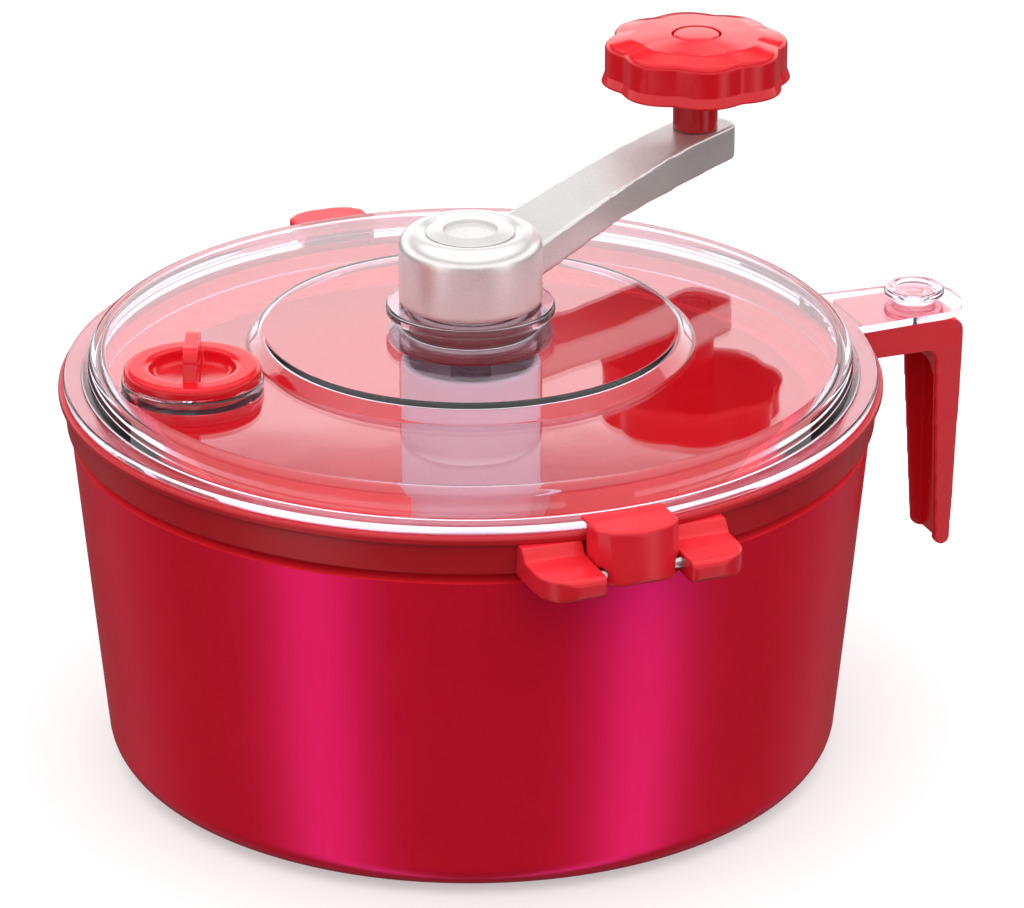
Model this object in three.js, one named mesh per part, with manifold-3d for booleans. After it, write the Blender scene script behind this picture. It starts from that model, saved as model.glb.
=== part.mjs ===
// A hand-cranked dough maker: a bowl with a clamped clear lid, a crank on top and a kneading blade inside.
// Millimetres, +Z up. The origin is on the table under the bowl's axis. +X points to the handle,
// the clips are at -Y (front) and +Y (rear), and the filling port is at -X.
import * as THREE from "three";
import { mergeVertices } from "three/addons/utils/BufferGeometryUtils.js";
import Module from "manifold-3d";

const wasm = await Module();
wasm.setup();

// Fits and fineness
const slip = 0.3; // gap between pieces that seat on, pass through or turn on each other
const largeSides = 40;
const smallSides = 20;

// Bowl
const rimRadius = 120; // outside of the collar's bead
const rimHeight = 116; // top of the collar
const floorRadius = 108.2; // outside of the bowl just above its bottom fillet
const bowlWall = 2.5;
const bottomFillet = 9;
const sideSwell = 0.97; // exponent of the side's curve: below 1 it swells outwards
const shoulderInset = 3.2; // top of the bowl's side, inside the bead
const padRadius = 86;
const padThickness = 3;
const padProud = 1.8; // how far the pad stands below the bowl's foot ring
const bossRadius = 9;
const bossHeight = 8;

// Collar, which carries the handle and the clips
const collarHeight = 11.8;
const lipThickness = 2.2;
const beadHeight = 2.5;
const wingWidth = 17.7;
const wingReach = 18.5; // past the bead
const wingThickness = 6.2;
const wingDrop = 5.4; // wing's flat top, below the rim
const wingCorner = 10;
const tongueReach = 16; // past the bead
const tongueHalfWidth = 9;
const tongueThickness = 5;
const tongueDrop = 2; // top of the tongue, below the rim
const screwOffset = 6; // handle screws, past the bead
const screwSpacing = 10;

// Clips
const clipHalfWidth = 12;
const clipReach = 16; // past the bead
const clipOverlap = 2; // how far the hook reaches over the lid's flange
const clipBulge = 4.5; // how far the middle of the clip's front stands out past its corners
const pivotOffset = 10; // clip hinge, past the bead
const pivotDrop = 8.2; // clip hinge, below the rim
const clipPinRadius = 1.5;

// Handle, whose grip is a channel open towards the bowl
const handleHalfWidth = 12;
const handleEndHalfWidth = 8.6;
const handleReach = 33.2; // past the bead
const handleDrop = 79.5; // from the rim to the lower end
const handleWall = 2.2;
const webHeight = 9.3; // of the level arm between the collar and the grip
const gripDepth = 9.2; // at the top
const gripEndDepth = 5.2;
const handleScrewRadius = 1.5;

// Lid
const lidWall = 2.2;
const flangeInset = 1.5; // flange edge, inside the bead
const domeHeight = 8; // from the flange to the flat ring round the plateau
const domeFillet = 3.8;
const plateauFoot = 65;
const plateauRise = 4.5;
const neckRadius = 20.4;
const neckHeight = 7.1;
const neckFlange = 4.2;
const skirtDepth = 7;
const tabReach = 36; // past the bead
const tabHalfWidth = 14.5;
const portBore = 16.6;
const portAzimuth = THREE.MathUtils.degToRad(184.9);
const portRing = 20.3;
const portRingHeight = 3.5;

// Thumb stud on the lid's tab
const studRadius = 9;
const studNeckRadius = 6.6;
const studShankRadius = 3;
const studHeight = 4.5;

// Crank and its shaft
const crankRadius = 111; // from the shaft to the knob
const crankAzimuth = THREE.MathUtils.degToRad(31.5);
const hubRadius = 20.9;
const hubHeight = 18.2;
const armRise = 3.1; // arm's top at the knob, above the hub
const armThickness = 10.5;
const armTipReach = 12; // past the knob's axis
const armTipFillet = 5;
const armHalfWidth = 8.75;
const shaftRadius = 6;
const shaftSquare = 8.4; // side of the square ends, whose corners stay inside the round
const hubScrewRadius = 2;
const hubCapRadius = 12.9;

// Knob
const knobRadius = 29;
const knobNotch = 0.07; // depth of the hollows between lobes, as a share of the radius
const knobLobes = 8;
const knobHeight = 15;
const stemRadius = 6.8;
const stemHeight = 14.8;
const axleRadius = 3;
const knobCapRadius = 7;

// Fill cap
const fillCapRadius = 19.6;
const fillCapThickness = 3.3;
const fillCapRecess = 11.5;
const finThickness = 4.2;
const finHeight = 7.4; // above the cap's rim
const finAzimuth = THREE.MathUtils.degToRad(69);

// Kneading blade
const columnRadius = 20.3;
const columnWall = 2.5;
const bladeGap = 3.5; // from the blade to the bowl's floor
const bladeTipGap = 5; // from the blade's tip to the bowl's wall
const bladeHeight = 30.5;
const bladeThickness = 6;
const bladeSweep = 0.75; // how far the blade curls from root to tip, in radians
const pinRadius = 4;
const pinLength = 38.7;

// Levels and radii that follow
const footZ = padThickness - padProud;
const floorUnder = padThickness + slip;
const floorTop = floorUnder + 2.7;
const bossTop = floorTop + bossHeight;
const wallStart = footZ + bottomFillet;
const collarFoot = rimHeight - collarHeight;
const shoulderRadius = rimRadius - shoulderInset;
const neckOuter = rimRadius - 7;
const neckInner = neckOuter - bowlWall;
const bowlTop = rimHeight - lipThickness - slip;
const pivotRadius = rimRadius + pivotOffset;
const pivotZ = rimHeight - pivotDrop;
const pinStart = -(clipHalfWidth + wingWidth - 3); // blind end of the hole for a clip's pin
const pinEnd = clipHalfWidth + wingWidth - 0.7;
const tongueTop = rimHeight - tongueDrop;
const handleTop = rimHeight - slip;
const webFoot = handleTop - webHeight;
const flangeUnder = rimHeight + slip;
const flangeTop = flangeUnder + lidWall;
const flangeRadius = rimRadius - flangeInset;
const skirtOuter = neckInner - 0.5;
const skirtInner = skirtOuter - lidWall;
const domeFoot = rimRadius - 7;
const shoulder = domeFoot - domeHeight * 0.38;
const ringTop = flangeTop + domeHeight;
const plateauTop = ringTop + plateauRise;
const plateauUnder = plateauTop - lidWall;
const neckTop = plateauTop + neckHeight;
const neckBore = neckRadius - lidWall - 0.1;
const portOffset = shoulder - portRing - 2.2;
const portCentre = [portOffset * Math.cos(portAzimuth), portOffset * Math.sin(portAzimuth), 0];
const portTop = ringTop + portRingHeight;
const studOffset = rimRadius + 22;
const hubFoot = neckTop + 0.7;
const hubTop = hubFoot + hubHeight;
const armTop = hubTop + armRise;
const armUnder = armTop - armThickness;
const knobFoot = armTop + slip + stemHeight;
const knobTop = knobFoot + knobHeight;
const bushFoot = plateauUnder - slip - 3;
const hubWebFoot = hubFoot + 10.8; // the web that the hub's screw pulls down
const hubWebTop = hubWebFoot + 2;
const bladeFoot = floorTop + bladeGap;
const columnTop = rimHeight + 3;
const socketDepth = 20;
const socketTop = columnTop - 6;
const washerThickness = 1;
const columnFoot = floorTop + 6;

// ---- shape helpers ----

// Turns corners [x, y] or [x, y, fillet] into an outline whose fillets are arcs.
function filleted(corners, steps = 3) {
  const last = corners.length;
  return corners.flatMap(([x, y, fillet], i) => {
    if (!fillet) return [[x, y]];
    const corner = new THREE.Vector2(x, y);
    const before = new THREE.Vector2(...corners[(i + last - 1) % last].slice(0, 2)).sub(corner).normalize();
    const after = new THREE.Vector2(...corners[(i + 1) % last].slice(0, 2)).sub(corner).normalize();
    const half = before.angleTo(after) / 2;
    const start = corner.clone().addScaledVector(before, fillet / Math.tan(half));
    const inward = before.clone().add(after).normalize();
    const centre = corner.clone().addScaledVector(inward, fillet / Math.sin(half));
    const from = start.sub(centre);
    const turn = (Math.PI - 2 * half) * Math.sign(after.cross(before));
    return Array.from({ length: steps + 1 }, (_, k) => {
      const at = from.clone().rotateAround(new THREE.Vector2(), (turn * k) / steps).add(centre);
      return [at.x, at.y];
    });
  });
}

// The profile [radius, z] spun about Z. An open profile starts and ends on the axis.
function spin(profile, sides = largeSides) {
  const points = profile.map(([r, z]) => new THREE.Vector2(r, z));
  return new THREE.LatheGeometry(points, sides).rotateX(Math.PI / 2);
}

const closed = (profile) => [...profile, profile[0]];

function ring(inner, outer, low, high, sides = smallSides) {
  return spin(closed([[inner, low], [outer, low], [outer, high], [inner, high]]), sides);
}

function rod(radius, low, high, sides = smallSides) {
  return spin([[0, low], [radius, low], [radius, high], [0, high]], sides);
}

// An outline in X and Y, extruded along Z.
function plate(outline, low, high) {
  const shape = new THREE.Shape(outline.map(([x, y]) => new THREE.Vector2(x, y)));
  const depth = high - low;
  return new THREE.ExtrudeGeometry(shape, { depth, bevelEnabled: false }).translate(0, 0, low);
}

// An outline in X and Z, extruded along Y to both sides.
function slab(outline, halfWidth) {
  return plate(outline, -halfWidth, halfWidth).rotateX(Math.PI / 2);
}

// A rod lying along X.
const axle = (radius, low, high) => rod(radius, low, high).rotateY(Math.PI / 2);

// An outline in Y and Z, extruded along X.
function bar(outline, low, high) {
  return plate(outline, low, high).rotateX(Math.PI / 2).rotateZ(Math.PI / 2);
}

const rectangle = (x0, y0, x1, y1) => [[x0, y0], [x1, y0], [x1, y1], [x0, y1]];

function squareBar(side, low, high) {
  return plate(rectangle(-side / 2, -side / 2, side / 2, side / 2), low, high);
}

function solid(piece) {
  if (!piece.isBufferGeometry) return piece;
  piece.deleteAttribute("normal");
  piece.deleteAttribute("uv");
  const merged = mergeVertices(piece, 1e-4);
  return new wasm.Manifold(
    new wasm.Mesh({
      numProp: 3,
      vertProperties: merged.attributes.position.array,
      triVerts: new Uint32Array(merged.index.array),
    }),
  );
}

const join = (...pieces) => pieces.map(solid).reduce((all, piece) => all.add(piece));
const cut = (base, ...tools) => tools.map(solid).reduce((rest, tool) => rest.subtract(tool), solid(base));
const common = (a, b) => solid(a).intersect(solid(b));

// ---- materials ----

const finishes = {
  metallicRed: [0xa81420, 0.28, 0.6],
  mouldedRed: [0xa01622, 0.35, 0],
  glossRed: [0x9c101c, 0.15, 0],
  clear: [0xe8e4e8, 0.08, 0],
  silver: [0xcfcac6, 0.35, 0.7],
  steel: [0xb8bcc0, 0.3, 1],
  rubber: [0x2a2a2c, 0.8, 0],
  nylon: [0xd8d4cc, 0.5, 0],
};

function mesh(name, piece, finish) {
  const { numProp, vertProperties, triVerts } = solid(piece).getMesh();
  const geometry = new THREE.BufferGeometry();
  geometry.setAttribute("position", new THREE.BufferAttribute(vertProperties, numProp));
  geometry.setIndex(new THREE.BufferAttribute(triVerts, 1));
  geometry.computeVertexNormals();
  const [color, roughness, metalness] = finishes[finish];
  const material = new THREE.MeshStandardMaterial({ color, roughness, metalness });
  const made = new THREE.Mesh(geometry, material);
  made.name = name;
  return made;
}

// ---- bowl, base pad and pivot pin ----

// Outside radius of the bowl's side at height z.
function sideRadius(z) {
  const t = THREE.MathUtils.clamp((z - wallStart) / (collarFoot - wallStart), 0, 1);
  return floorRadius + (shoulderRadius - floorRadius) * t ** sideSwell;
}

function bowl() {
  const steps = 4;
  const innerFillet = 6;
  const innerStart = floorTop + innerFillet;
  const outside = Array.from({ length: steps }, (_, i) => {
    const z = wallStart + ((collarFoot - wallStart) * i) / steps;
    return [sideRadius(z), z];
  });
  const inside = Array.from({ length: steps + 1 }, (_, i) => {
    const z = collarFoot + ((innerStart - collarFoot) * i) / steps;
    return [Math.min(sideRadius(z) - bowlWall, neckInner), z];
  });
  const innerRadius = inside.at(-1)[0];
  const outerFoot = filleted([
    [padRadius, footZ],
    [floorRadius, footZ, bottomFillet],
    [floorRadius, collarFoot],
  ], 2);
  const innerFoot = filleted([
    [innerRadius, collarFoot],
    [innerRadius, floorTop, innerFillet],
    [0, floorTop],
  ], 2);
  const bore = pinRadius + slip;
  return spin([
    [0, floorUnder],
    [padRadius + slip, floorUnder],
    [padRadius + slip, footZ],
    ...outerFoot.slice(1, -1),
    ...outside.slice(1),
    [shoulderRadius, collarFoot - slip],
    [neckOuter, collarFoot - slip],
    [neckOuter, bowlTop],
    [neckInner, bowlTop],
    ...inside,
    ...innerFoot.slice(2, -1),
    [bossRadius, floorTop],
    [bossRadius, bossTop],
    [bore, bossTop],
    [bore, floorTop + 1],
    [0, floorTop + 1],
  ]);
}

function basePad() {
  const grooveDepth = 1;
  const grooves = [60, 74].map((r) => ring(r, r + 5, -1, grooveDepth, largeSides));
  return cut(rod(padRadius, 0, padThickness, largeSides), ...grooves);
}

const pivotPin = () => rod(pinRadius, floorTop + 1 + slip, floorTop + 1 + slip + pinLength);

// ---- collar with its wings and tongue ----

function wing(side) {
  const near = side * (clipHalfWidth + slip);
  const far = side * (clipHalfWidth + slip + wingWidth);
  const root = neckOuter - 1.5;
  const reach = rimRadius + wingReach;
  const top = rimHeight - wingDrop;
  const gussetTop = rimHeight - lipThickness;
  const plan = filleted([
    [near, root],
    [far, root],
    [far, reach, wingCorner],
    [near, reach, 1],
  ], 4);
  const profile = [
    [root, top - wingThickness],
    [reach, top - wingThickness],
    [reach, top],
    [rimRadius + 1.5, top],
    [rimRadius - 1, gussetTop],
    [root, gussetTop],
  ];
  const low = Math.min(near, far) - 1;
  return common(plate(plan, 0, rimHeight), bar(profile, low, low + wingWidth + 2));
}

// The hole for a clip's pin is open at the far end of one wing only.
function pinHole() {
  return axle(clipPinRadius + slip, pinStart, pinEnd + 2).translate(0, pivotRadius, pivotZ);
}

function tongueHoles(radius, low, high) {
  return [-0.5, 0.5].map((share) => {
    return rod(radius, low, high, 12).translate(rimRadius + screwOffset, share * screwSpacing, 0);
  });
}

function collar() {
  const inner = neckOuter + slip;
  const lip = skirtOuter + 0.8;
  const beadFoot = rimHeight - beadHeight;
  const band = spin(closed([
    [inner, collarFoot],
    [rimRadius - 2.2, collarFoot],
    [rimRadius - 1.4, beadFoot],
    [rimRadius, beadFoot],
    [rimRadius, rimHeight],
    [lip, rimHeight],
    [lip, rimHeight - lipThickness],
    [inner, rimHeight - lipThickness],
  ]));
  const tongueOutline = rectangle(inner - 1, -tongueHalfWidth, rimRadius + tongueReach, tongueHalfWidth);
  const tongue = plate(tongueOutline, tongueTop - tongueThickness, tongueTop);
  const clipMounts = [0, 180].map((turn) => join(wing(-1), wing(1)).rotate([0, 0, turn]));
  return cut(
    join(band, tongue, ...clipMounts),
    rod(inner, collarFoot - 5, rimHeight - lipThickness, largeSides),
    ...[0, Math.PI].map((turn) => pinHole().rotateZ(turn)),
    ...tongueHoles(handleScrewRadius + slip, 0, tongueTop - 0.6),
  );
}

// ---- handle and its screws ----

function handle() {
  const inner = rimRadius + 0.5;
  const outer = rimRadius + handleReach;
  const low = rimHeight - handleDrop;
  const endRake = 6;
  const profile = filleted([
    [inner, webFoot],
    [inner, handleTop],
    [outer, handleTop, 4],
    [outer - 1, low, 2.4],
    [outer - 1 - gripEndDepth, low + endRake, 2.4],
    [outer - gripDepth, webFoot, 4],
  ]);
  const front = [
    [-handleEndHalfWidth, low - 1],
    [handleEndHalfWidth, low - 1],
    [handleHalfWidth, webFoot],
    [handleHalfWidth, handleTop + 1],
    [-handleHalfWidth, handleTop + 1],
    [-handleHalfWidth, webFoot],
  ];
  const hollowFront = filleted([
    [-handleEndHalfWidth + handleWall, low - 1],
    [handleEndHalfWidth - handleWall, low - 1],
    [handleHalfWidth - handleWall, webFoot - 5, 5],
    [-handleHalfWidth + handleWall, webFoot - 5, 5],
  ]);
  const hollowProfile = [
    [outer - gripDepth - 8, low - 1],
    [outer - 1 - handleWall, low - 1],
    [outer - handleWall, webFoot],
    [outer - gripDepth - 8, webFoot],
  ];
  const hollow = common(bar(hollowFront, inner, outer), slab(hollowProfile, handleHalfWidth));
  const slotTop = tongueTop + slip;
  const slotFoot = tongueTop - tongueThickness - slip;
  const slotEnd = rimRadius + tongueReach + slip;
  const slotHalf = tongueHalfWidth + slip;
  const slot = plate(rectangle(inner - 2, -slotHalf, slotEnd, slotHalf), slotFoot, slotTop);
  return cut(
    common(slab(profile, handleHalfWidth + 1), bar(front, inner - 1, outer + 1)),
    hollow,
    slot,
    ...tongueHoles(handleScrewRadius + slip, webFoot - 1, slotTop - 1),
  );
}

function handleScrew(side) {
  const shank = spin([
    [0, webFoot - slip - 1.6],
    [3, webFoot - slip - 1.6],
    [3, webFoot - slip],
    [handleScrewRadius, webFoot - slip],
    [handleScrewRadius, tongueTop - 1],
    [0, tongueTop - 1],
  ], 12);
  return shank.translate(rimRadius + screwOffset, (side * screwSpacing) / 2, 0);
}

// ---- clips ----

function clip() {
  const hookTip = flangeRadius - clipOverlap;
  const hookUnder = flangeTop + slip;
  const hookTop = hookUnder + 1.5;
  const back = rimRadius + 0.5;
  const front = rimRadius + clipReach;
  const foot = pivotZ - 2.8;
  const side = filleted([
    [hookTip, hookUnder],
    [hookTip, hookTop, 0.6],
    [front - 2.5, hookTop, 2],
    [front, pivotZ + 4, 4],
    [front - 1, foot, 2],
    [back, foot, 1],
    [back, hookUnder],
  ]);
  const bulge = Array.from({ length: 7 }, (_, i) => {
    const x = clipHalfWidth * (1 - i / 3);
    return [x, front - clipBulge * (x / clipHalfWidth) ** 2];
  });
  const plan = [[-clipHalfWidth, hookTip - 1], [clipHalfWidth, hookTip - 1], ...bulge];
  const hole = axle(clipPinRadius + slip, -2 * clipHalfWidth, 2 * clipHalfWidth);
  const body = common(bar(side, -clipHalfWidth - 1, clipHalfWidth + 1), plate(plan, 0, hookTop + 1));
  return cut(body, hole.translate(0, pivotRadius, pivotZ));
}

const clipPin = () => axle(clipPinRadius, pinStart + slip, pinEnd).translate(0, pivotRadius, pivotZ);

// ---- lid ----

function lid() {
  const ringUnder = ringTop - lidWall;
  const dome = spin(closed(filleted([
    [skirtInner, rimHeight - skirtDepth],
    [skirtOuter, rimHeight - skirtDepth],
    [skirtOuter, flangeUnder],
    [flangeRadius, flangeUnder],
    [flangeRadius, flangeTop],
    [domeFoot, flangeTop],
    [shoulder, ringTop, domeFillet],
    [plateauFoot, ringTop],
    [plateauFoot - 4, plateauTop, 3],
    [neckRadius, plateauTop],
    [neckRadius, neckTop - 3],
    [neckRadius + neckFlange, neckTop - 3],
    [neckRadius + neckFlange, neckTop],
    [neckBore, neckTop],
    [neckBore, plateauUnder],
    [plateauFoot - 4.7, plateauUnder],
    [plateauFoot - 0.7, ringUnder],
    [shoulder - lidWall, ringUnder],
    [skirtInner, flangeTop - 1],
  ], 2)));
  const end = rimRadius + tabReach;
  const tab = plate(filleted([
    [domeFoot - 1, -tabHalfWidth],
    [rimRadius, -tabHalfWidth],
    [end, -tabHalfWidth + 2, 11],
    [end, tabHalfWidth - 2, 11],
    [rimRadius, tabHalfWidth],
    [domeFoot - 1, tabHalfWidth],
  ], 5), flangeUnder, flangeTop);
  const port = rod(portRing, ringUnder, portTop, 24).translate(...portCentre);
  const portHole = rod(portBore, ringUnder - 4, portTop + 1, 24).translate(...portCentre);
  const studHole = rod(studShankRadius + slip, 0, flangeTop + 1).translate(studOffset, 0, 0);
  return cut(join(dome, tab, port), portHole, studHole);
}

function thumbStud() {
  return spin([
    [0, flangeUnder + slip],
    [studShankRadius, flangeUnder + slip],
    [studShankRadius, flangeTop + slip],
    [studNeckRadius, flangeTop + slip],
    [studNeckRadius, flangeTop + studHeight * 0.45],
    ...filleted([
      [studNeckRadius, flangeTop + studHeight * 0.45],
      [studRadius, flangeTop + studHeight * 0.55],
      [studRadius, flangeTop + studHeight, 0.8],
      [0, flangeTop + studHeight],
    ], 2).slice(1),
  ], 24).translate(studOffset, 0, 0);
}

function lidBush() {
  const outer = neckBore - slip;
  const bore = shaftRadius + slip;
  return spin(closed([
    [bore, bushFoot],
    [outer + 6, bushFoot],
    [outer + 6, bushFoot + 3],
    [outer, bushFoot + 3],
    [outer, neckTop + slip],
    [bore, neckTop + slip],
  ]), 24);
}

// ---- crank, shaft and their fasteners ----

function crankArm() {
  const hub = spin(filleted([
    [0, hubFoot],
    [hubRadius, hubFoot],
    [hubRadius, hubTop, 5],
    [0, hubTop],
  ]), 32);
  const tip = crankRadius + armTipReach;
  const root = 8; // inside the hub
  const flare = hubRadius + 7; // where the arm starts to narrow
  const side = [
    [root, hubFoot + 2],
    [crankRadius * 0.55, armUnder - 2],
    [tip, armUnder],
    [tip, armTop],
    [crankRadius * 0.85, armTop - 0.1],
    [crankRadius * 0.63, armTop - 1.6],
    [crankRadius * 0.4, armTop - 5],
    [hubRadius, armTop - 8],
    [root, armTop - 8.5],
  ];
  const rootHalf = armHalfWidth + 3.25;
  const middle = crankRadius * 0.63;
  const plan = filleted([
    [root, -rootHalf],
    [flare, -rootHalf + 0.5],
    [middle, -armHalfWidth - 0.9],
    [tip, -armHalfWidth, armTipFillet],
    [tip, armHalfWidth, armTipFillet],
    [middle, armHalfWidth + 0.9],
    [flare, rootHalf - 0.5],
    [root, rootHalf],
  ], 4);
  const arm = common(slab(side, rootHalf + 1), plate(plan, hubFoot, armTop + 1));
  const nutPocket = rod(axleRadius + 2.8, armUnder - 2, armUnder + 4.3).translate(crankRadius, 0, 0);
  const axleHole = rod(axleRadius + slip, armUnder, armTop + 1).translate(crankRadius, 0, 0);
  return cut(
    join(hub, arm),
    squareBar(shaftSquare + 2 * slip, hubFoot - 1, hubWebFoot),
    rod(hubScrewRadius + slip, hubFoot, hubTop),
    rod(8 + slip, hubWebTop, hubTop + 1),
    nutPocket,
    axleHole,
  );
}

function hubCap() {
  return spin([
    [0, hubWebTop + 3.5],
    [8, hubWebTop + 3.5],
    [8, hubTop + slip],
    ...filleted([
      [8, hubTop + slip],
      [hubCapRadius, hubTop + slip],
      [hubCapRadius, hubTop + 2, 0.8],
      [0, hubTop + 2],
    ], 1).slice(1),
  ], 24);
}

function hubScrew() {
  const under = hubWebTop + slip;
  return spin([
    [0, hubFoot + 3],
    [hubScrewRadius, hubFoot + 3],
    [hubScrewRadius, under],
    [4.5, under],
    [4.5, under + 2.2],
    [0, under + 2.2],
  ], 12);
}

const clipGroove = { low: bushFoot - 2.9, high: bushFoot - 1.4, radius: shaftRadius - 1 };

function driveShaft() {
  const squareTop = hubWebFoot - slip;
  const roundTop = hubFoot;
  const roundFoot = columnTop + 1;
  const body = join(
    rod(shaftRadius, roundFoot, roundTop),
    squareBar(shaftSquare, roundTop - 1, squareTop),
    squareBar(shaftSquare, socketTop - socketDepth + 2, roundFoot + 1),
  );
  return cut(
    body,
    ring(clipGroove.radius, shaftRadius + 2, clipGroove.low, clipGroove.high),
    rod(hubScrewRadius + slip, hubFoot + 2, squareTop + 1, 12),
  );
}

const shaftWasher = () => ring(shaftRadius + slip, shaftRadius + 5, bushFoot - 1.2, bushFoot - slip);

function shaftClip() {
  const low = clipGroove.low + slip;
  const high = clipGroove.high - slip;
  const whole = ring(clipGroove.radius + slip, shaftRadius + 3, low, high);
  const mouth = clipGroove.radius;
  return cut(whole, plate(rectangle(0, -mouth, shaftRadius + 4, mouth), low - 1, high + 1));
}

// ---- knob and its axle ----

const axleHeadFoot = knobFoot + 4 + slip;

function knobAxle() {
  return spin([
    [0, armUnder + slip],
    [axleRadius, armUnder + slip],
    [axleRadius, axleHeadFoot],
    [5.5, axleHeadFoot],
    [5.5, axleHeadFoot + 2.2],
    [0, axleHeadFoot + 2.2],
  ], 16);
}

function axleNut() {
  return cut(rod(axleRadius + 2.2, armUnder + 0.5, armUnder + 4, 6), rod(axleRadius + slip, 0, hubTop, 16));
}

// One lobe and one hollow for each turn of the cosine.
function knobOutline(radius) {
  const sides = knobLobes * 6;
  return Array.from({ length: sides }, (_, i) => {
    const angle = (2 * Math.PI * i) / sides;
    const r = radius * (1 - (knobNotch * (1 - Math.cos(knobLobes * angle))) / 2);
    return [r * Math.cos(angle), r * Math.sin(angle)];
  });
}

function knob() {
  const dome = spin(filleted([
    [0, knobFoot],
    [knobRadius, knobFoot],
    [knobRadius - 0.8, knobTop - 2.8, 2.4],
    [knobCapRadius + 1, knobTop],
    [0, knobTop],
  ], 2), 28);
  const head = common(dome, plate(knobOutline(knobRadius), knobFoot, knobTop));
  return cut(
    join(head, rod(stemRadius, armTop + slip, knobFoot + 1)),
    rod(axleRadius + slip, armTop, knobFoot + 4, 16),
    rod(5.5 + slip, knobFoot + 4 - 0.1, knobTop - 3.5 + 0.1, 16),
    rod(knobCapRadius + slip, knobTop - 3.5, knobTop + 1),
  );
}

const knobCap = () => rod(knobCapRadius, knobTop - 3.5 + slip, knobTop);

// ---- fill cap and its seal ----

const sealFoot = ringTop - 1.5;
const sealThickness = 1.2;
const plugRadius = portBore - 1;

function fillCap() {
  const rimFoot = portTop + slip;
  const rimTop = rimFoot + fillCapThickness;
  const recessFloor = rimTop - 4;
  const plugFoot = ringTop - 3.5;
  const wall = 2.6;
  const body = spin(
    filleted([
      [0, recessFloor - 2.2],
      [plugRadius - wall, recessFloor - 2.2],
      [plugRadius - wall, plugFoot],
      [plugRadius, plugFoot],
      [plugRadius, rimFoot],
      [fillCapRadius, rimFoot],
      [fillCapRadius, rimTop, 1],
      [fillCapRecess, rimTop],
      [fillCapRecess, recessFloor],
      [0, recessFloor],
    ], 1),
    24,
  );
  const finTop = rimTop + finHeight;
  const fin = slab(filleted([
    [-fillCapRecess - 0.5, recessFloor - 0.5],
    [fillCapRecess + 0.5, recessFloor - 0.5],
    [fillCapRecess + 0.5, rimTop - 0.5],
    [fillCapRecess - 1.5, finTop, 5],
    [-fillCapRecess + 1.5, finTop, 5],
    [-fillCapRecess - 0.5, rimTop - 0.5],
  ], 4), finThickness / 2);
  const sealTop = sealFoot + sealThickness;
  const groove = ring(plugRadius - 1.4, plugRadius + 1, sealFoot - slip, sealTop + slip, 24);
  return cut(join(body, fin), groove);
}

const fillCapSeal = () => ring(plugRadius - 1.1, portBore - slip, sealFoot, sealFoot + sealThickness, 24);

// ---- kneading blade and what it turns on ----

// One blade, curling as it goes out from the column.
function bladeOutline() {
  const root = columnRadius - 1.5;
  const tip = floorRadius - bowlWall - bladeTipGap;
  const steps = 7;
  const edge = (offset, from, to) => Array.from({ length: steps + 1 }, (_, i) => {
    const t = from + ((to - from) * i) / steps;
    const r = root + (tip - root) * t;
    const angle = bladeSweep * t * t;
    const half = (bladeThickness / 2) * (1 - 0.35 * t);
    const [cos, sin] = [Math.cos(angle), Math.sin(angle)];
    return [r * cos - offset * half * sin, r * sin + offset * half * cos];
  });
  return [...edge(-1, 0, 1), ...edge(1, 1, 0)];
}

function kneadingBlade() {
  const inner = columnRadius - columnWall;
  const bladeTop = bladeFoot + bladeHeight;
  const blades = [0, Math.PI].map((turn) => plate(bladeOutline(), bladeFoot, bladeTop).rotateZ(turn));
  const column = rod(columnRadius, columnFoot, columnTop, 24);
  return cut(join(column, ...blades), rod(inner, bladeFoot - 1, columnTop + 1, 24));
}

function bladeSocket() {
  const outer = columnRadius - columnWall - slip;
  return cut(
    rod(outer, socketTop - socketDepth, socketTop),
    squareBar(shaftSquare + 2 * slip, socketTop - socketDepth - 1, socketTop + 1),
  );
}

function thrustWasher() {
  const low = bossTop + slip;
  return ring(pinRadius + slip, bossRadius - 0.5, low, low + washerThickness);
}

function footBush() {
  const low = bossTop + washerThickness + 2 * slip;
  return ring(pinRadius + slip, columnRadius - columnWall - slip, low, low + 20);
}

// ---- assembly ----

const root = new THREE.Group();

root.add(
  mesh("bowl", bowl(), "metallicRed"),
  mesh("base_pad", basePad(), "rubber"),
  mesh("pivot_pin", pivotPin(), "steel"),
  mesh("collar", collar(), "mouldedRed"),
  mesh("handle", handle(), "mouldedRed"),
  mesh("handle_screw_left", handleScrew(1), "steel"),
  mesh("handle_screw_right", handleScrew(-1), "steel"),
);

for (const [side, turn] of [["rear", 0], ["front", Math.PI]]) {
  const station = new THREE.Group();
  station.rotation.z = turn;
  station.add(mesh(side + "_clip", clip(), "mouldedRed"), mesh(side + "_clip_pin", clipPin(), "steel"));
  root.add(station);
}

root.add(
  mesh("lid", lid(), "clear"),
  mesh("thumb_stud", thumbStud(), "clear"),
  mesh("lid_bush", lidBush(), "mouldedRed"),
);

const crank = new THREE.Group();
crank.rotation.z = crankAzimuth;
crank.add(
  mesh("crank_arm", crankArm(), "silver"),
  mesh("hub_cap", hubCap(), "silver"),
  mesh("hub_screw", hubScrew(), "steel"),
  mesh("drive_shaft", driveShaft(), "steel"),
  mesh("shaft_washer", shaftWasher(), "nylon"),
  mesh("shaft_clip", shaftClip(), "steel"),
);
const knobStation = new THREE.Group();
knobStation.position.x = crankRadius;
knobStation.add(
  mesh("knob", knob(), "glossRed"),
  mesh("knob_cap", knobCap(), "glossRed"),
  mesh("knob_axle", knobAxle(), "steel"),
  mesh("axle_nut", axleNut(), "steel"),
);
crank.add(knobStation);
root.add(crank);

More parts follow.
